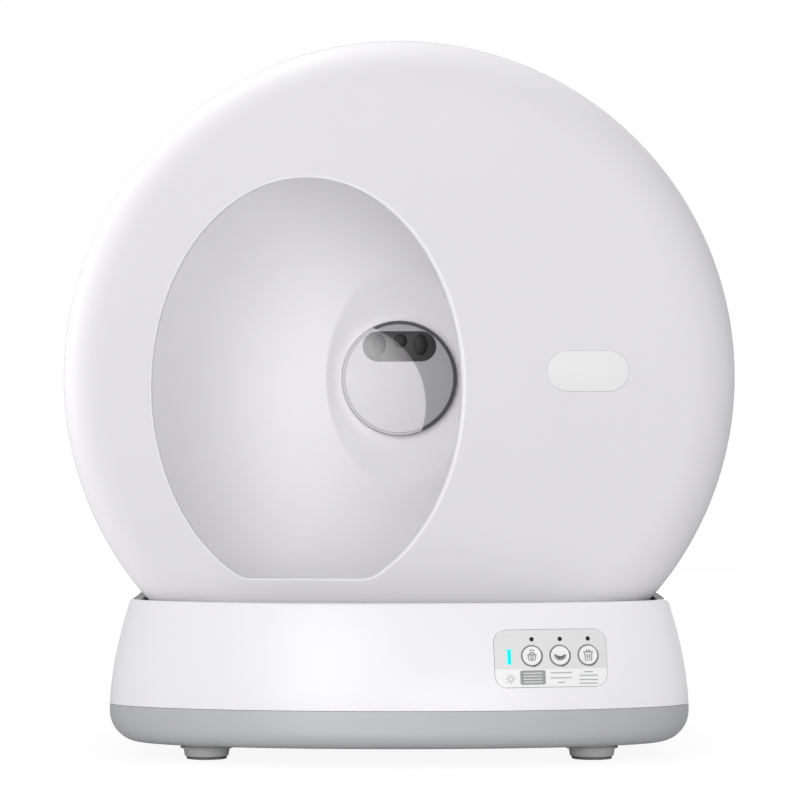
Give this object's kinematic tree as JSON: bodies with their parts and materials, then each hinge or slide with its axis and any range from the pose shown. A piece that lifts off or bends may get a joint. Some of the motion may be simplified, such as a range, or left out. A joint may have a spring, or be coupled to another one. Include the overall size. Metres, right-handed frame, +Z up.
{
  "type": "self cleaning litter box",
  "caption": "Self-cleaning litter box: a large round drum with an off-centre entry turns on a fixed hub above a low two-tone base with a button panel, feet and a rear waste drawer.",
  "frame": {"origin": "on the floor, under the middle of the object's box", "axes": "+Z up, front (entry and panel) towards -Y, +X to the right seen from the front; the drum's axle lies along Y at z 0.341"},
  "size_m": [0.6, 0.491, 0.641],
  "materials": {
    "drum_white": "satin off-white ABS, finely grained",
    "bowl_white": "satin off-white ABS, smooth inside",
    "badge_white": "smooth white plate, bare",
    "sieve_grey": "matte light grey ABS",
    "gear_plastic": "matte natural acetal",
    "base_white": "glossy white ABS",
    "tray_grey": "satin mid grey ABS",
    "housing_white": "satin off-white ABS",
    "deck_grey": "matte grey ABS",
    "frame_grey": "matte glass-filled nylon",
    "panel_white": "satin panel, paler lower field",
    "light_cyan": "lit cyan light guide",
    "circuit_board": "green solder mask",
    "tube_steel": "turned steel",
    "hub_ring_grey": "satin light grey ring",
    "hub_disc_white": "satin off-white disc with a darker field",
    "window_dark": "gloss smoked window",
    "lens_dark": "gloss black lens",
    "gearbox_grey": "matte dark grey",
    "motor_steel": "plated steel can",
    "shaft_steel": "ground steel",
    "rail_steel": "zinc-plated steel",
    "screw_steel": "zinc-plated screw",
    "drawer_grey": "matte light grey PP",
    "inlet_black": "matte black",
    "roller_rubber": "matte black rubber tread",
    "button_white": "satin white button",
    "lamp_dark": "unlit lamp lens",
    "foot_grey": "satin grey ABS",
    "pad_rubber": "matte rubber"
  },
  "bodies": {
    "base": {"base_shell": "base_white", "base_tray": "tray_grey", "rear_housing": "housing_white", "rear_deck": "deck_grey", "rear_frame": "frame_grey", "control_panel": "panel_white", "light_bar": "light_cyan", "panel_board": "circuit_board", "main_board": "circuit_board", "sensor_board": "circuit_board", "hub_tube": "tube_steel", "hub_ring": "hub_ring_grey", "hub_disc": "hub_disc_white", "sensor_window": "window_dark", "gearbox": "gearbox_grey", "motor": "motor_steel", "power_inlet": "inlet_black", "lens_left": "lens_dark", "lens_middle": "lens_dark", "lens_right": "lens_dark", "roller_axle_left": "shaft_steel", "roller_bracket_left": "frame_grey", "drawer_rail_left": "rail_steel", "roller_axle_right": "shaft_steel", "roller_bracket_right": "frame_grey", "drawer_rail_right": "rail_steel", "lamp_clean": "lamp_dark", "lamp_level": "lamp_dark", "lamp_empty": "lamp_dark", "foot_front_left": "foot_grey", "foot_pad_front_left": "pad_rubber", "foot_front_right": "foot_grey", "foot_pad_front_right": "pad_rubber", "foot_rear_left": "foot_grey", "foot_pad_rear_left": "pad_rubber", "foot_rear_right": "foot_grey", "foot_pad_rear_right": "pad_rubber", "hub_screw_1": "screw_steel", "hub_screw_2": "screw_steel", "hub_screw_3": "screw_steel", "hub_screw_4": "screw_steel"},
    "drum": {"drum_front_shell": "drum_white", "drum_bowl": "bowl_white", "entry_trim": "drum_white", "badge_plate": "badge_white", "sieve_screen": "sieve_grey", "waste_ramp": "sieve_grey", "ring_gear": "gear_plastic", "hub_bush": "gear_plastic"},
    "pinion": {"drive_pinion": "gear_plastic", "drive_shaft": "shaft_steel"},
    "roller_left_body": {"roller_left": "roller_rubber"},
    "roller_right_body": {"roller_right": "roller_rubber"},
    "drawer": {"waste_drawer": "drawer_grey", "drawer_door": "base_white"},
    "button_clean_body": {"button_clean": "button_white"},
    "button_level_body": {"button_level": "button_white"},
    "button_empty_body": {"button_empty": "button_white"}
  },
  "joints": [
    {"name": "drum_turn", "type": "hinge", "parent": "base", "child": "drum", "pos_m": [0, 0, 0.341], "axis": [0, 1, 0], "range_deg": [-40, 190]},
    {"name": "pinion_turn", "type": "hinge", "parent": "base", "child": "pinion", "pos_m": [-0.14335, 0, 0.24062], "axis": [0, 1, 0], "range_deg": [-800, 200]},
    {"name": "roller_left_turn", "type": "hinge", "parent": "base", "child": "roller_left_body", "pos_m": [-0.15915, 0, 0.06534], "axis": [0, 1, 0], "range_deg": [-3300, 800]},
    {"name": "roller_right_turn", "type": "hinge", "parent": "base", "child": "roller_right_body", "pos_m": [0.15915, 0, 0.06534], "axis": [0, 1, 0], "range_deg": [-3300, 800]},
    {"name": "drawer_slide", "type": "slide", "parent": "base", "child": "drawer", "axis": [0, 1, 0], "range_m": [0, 0.2]},
    {"name": "press_clean", "type": "slide", "parent": "base", "child": "button_clean_body", "axis": [-0.1766, 0.9639, -0.1992], "range_m": [0, 0.001], "stiffness_N_per_m": 600},
    {"name": "press_level", "type": "slide", "parent": "base", "child": "button_level_body", "axis": [-0.2271, 0.9541, -0.1952], "range_m": [0, 0.001], "stiffness_N_per_m": 600},
    {"name": "press_empty", "type": "slide", "parent": "base", "child": "button_empty_body", "axis": [-0.2889, 0.9382, -0.1907], "range_m": [0, 0.001], "stiffness_N_per_m": 600}
  ],
  "couplings": [
    {"joint": "pinion_turn", "follows": "drum_turn", "ratio": -4},
    {"joint": "roller_left_turn", "follows": "drum_turn", "ratio": -16.667},
    {"joint": "roller_right_turn", "follows": "drum_turn", "ratio": -16.667}
  ]
}
